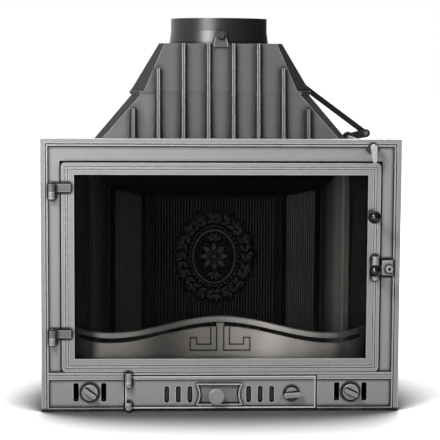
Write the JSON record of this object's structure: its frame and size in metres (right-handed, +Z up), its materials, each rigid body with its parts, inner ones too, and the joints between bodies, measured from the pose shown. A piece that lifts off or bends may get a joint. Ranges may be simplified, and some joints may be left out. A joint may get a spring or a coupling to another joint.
{
  "type": "fireplace insert",
  "caption": "Cast-iron fireplace insert with a glazed door, ash door with air slide, side air valves and a flue damper worked by a linkage.",
  "frame": {"origin": "middle of the lower front edge of the frame, on the surface that the insert stands on", "axes": "+X to the right seen from the front, +Y to the back, +Z up"},
  "size_m": [0.7, 0.4782, 0.769],
  "materials": {
    "frame_iron": "grey stove paint",
    "body_iron": "dark grey stove paint",
    "collar_iron": "dark grey stove paint",
    "liner_iron": "raw casting",
    "bright_steel": "satin",
    "dark_steel": "satin black",
    "black_knob": "gloss",
    "rope": "knitted",
    "ceramic_glass": "clear"
  },
  "bodies": {
    "firebox": {"front_frame": "frame_iron", "base_plate": "body_iron", "left_wall": "body_iron", "right_wall": "body_iron", "back_wall": "body_iron", "ash_box": "body_iron", "hearth_plate": "liner_iron", "grate": "liner_iron", "baffle_plate": "liner_iron", "left_side_liner": "liner_iron", "right_side_liner": "liner_iron", "left_corner_liner": "liner_iron", "right_corner_liner": "liner_iron", "back_liner": "liner_iron", "log_retainer": "liner_iron", "shoulder_casing": "body_iron", "hood_casing": "body_iron", "flue_collar": "collar_iron", "spindle_bracket": "body_iron", "shaft_bearing": "body_iron", "flange_bolts": "dark_steel", "small_bolts": "dark_steel", "latch_keeper": "frame_iron", "keeper_bolt": "bright_steel", "frame_hinge_lugs": "frame_iron", "hinge_pins": "bright_steel"},
    "main_door": {"main_door_frame": "frame_iron", "glass_tape": "rope", "door_glass": "ceramic_glass", "glass_clips": "dark_steel", "clip_screws": "bright_steel", "door_rope": "rope", "door_hinge_leaves": "frame_iron", "latch_lugs": "frame_iron", "latch_pin": "bright_steel", "pull_knob_stem": "bright_steel", "pull_knob_ball": "black_knob"},
    "door_latch": {"latch_lever": "bright_steel", "latch_ball": "black_knob"},
    "ash_door": {"ash_door": "frame_iron", "slide_guides": "dark_steel", "guide_screws": "bright_steel"},
    "ash_air_slide": {"air_slide_plate": "dark_steel", "air_slide_knob": "frame_iron"},
    "ash_door_catch": {"ash_catch_wing": "frame_iron", "ash_catch_cam": "dark_steel"},
    "left_air_valve": {"left_valve_knob": "frame_iron", "left_valve_shutter": "dark_steel"},
    "right_air_valve": {"right_valve_knob": "frame_iron", "right_valve_shutter": "dark_steel"},
    "damper_handle": {"damper_shaft": "bright_steel", "damper_paddle": "dark_steel", "shaft_crank": "dark_steel", "shaft_crank_pin": "dark_steel"},
    "damper_link": {"damper_bar": "dark_steel"},
    "damper": {"damper_spindle": "bright_steel", "damper_flap": "dark_steel", "spindle_crank": "dark_steel", "spindle_crank_pin": "dark_steel"},
    "ash_pan": {"ash_pan": "dark_steel"}
  },
  "joints": [
    {"name": "main_door_hinge", "type": "hinge", "parent": "firebox", "child": "main_door", "pos_m": [-0.328, -0.0095, 0.29], "axis": [0, 0, -1], "range_deg": [0, 105]},
    {"name": "door_latch_turn", "type": "hinge", "parent": "main_door", "child": "door_latch", "pos_m": [0.3, -0.01, 0.28475], "axis": [0, 0, -1], "range_deg": [0, 43]},
    {"name": "ash_door_hinge", "type": "hinge", "parent": "firebox", "child": "ash_door", "pos_m": [-0.1803, -0.008, 0.035], "axis": [0, 0, -1], "range_deg": [0, 110]},
    {"name": "air_slide_travel", "type": "slide", "parent": "ash_door", "child": "ash_air_slide", "axis": [1, 0, 0], "range_m": [0, 0.0113]},
    {"name": "ash_catch_turn", "type": "hinge", "parent": "ash_door", "child": "ash_door_catch", "pos_m": [0.1395, 0, 0.036], "axis": [0, -1, 0], "range_deg": [0, 90]},
    {"name": "left_valve_turn", "type": "hinge", "parent": "firebox", "child": "left_air_valve", "pos_m": [-0.256, 0, 0.0383], "axis": [0, -1, 0], "range_deg": [-53, 37]},
    {"name": "right_valve_turn", "type": "hinge", "parent": "firebox", "child": "right_air_valve", "pos_m": [0.256, 0, 0.0383], "axis": [0, -1, 0], "range_deg": [-65, 25]},
    {"name": "damper_handle_turn", "type": "hinge", "parent": "firebox", "child": "damper_handle", "pos_m": [0.293, 0, 0.5195], "axis": [0, 1, 0], "range_deg": [0, 85]},
    {"name": "damper_link_turn", "type": "hinge", "parent": "damper_handle", "child": "damper_link", "pos_m": [0.33408, 0.4115, 0.52823], "axis": [0, 1, 0], "range_deg": [-85, 0]},
    {"name": "damper_flap_turn", "type": "hinge", "parent": "firebox", "child": "damper", "pos_m": [0, 0.176, 0.7345], "axis": [0, 1, 0], "range_deg": [0, 85]},
    {"name": "ash_pan_travel", "type": "slide", "parent": "firebox", "child": "ash_pan", "axis": [0, -1, 0], "range_m": [0, 0.02]}
  ],
  "couplings": [
    {"joint": "damper_link_turn", "follows": "damper_handle_turn", "ratio": -1},
    {"joint": "damper_flap_turn", "follows": "damper_handle_turn", "ratio": 1}
  ]
}
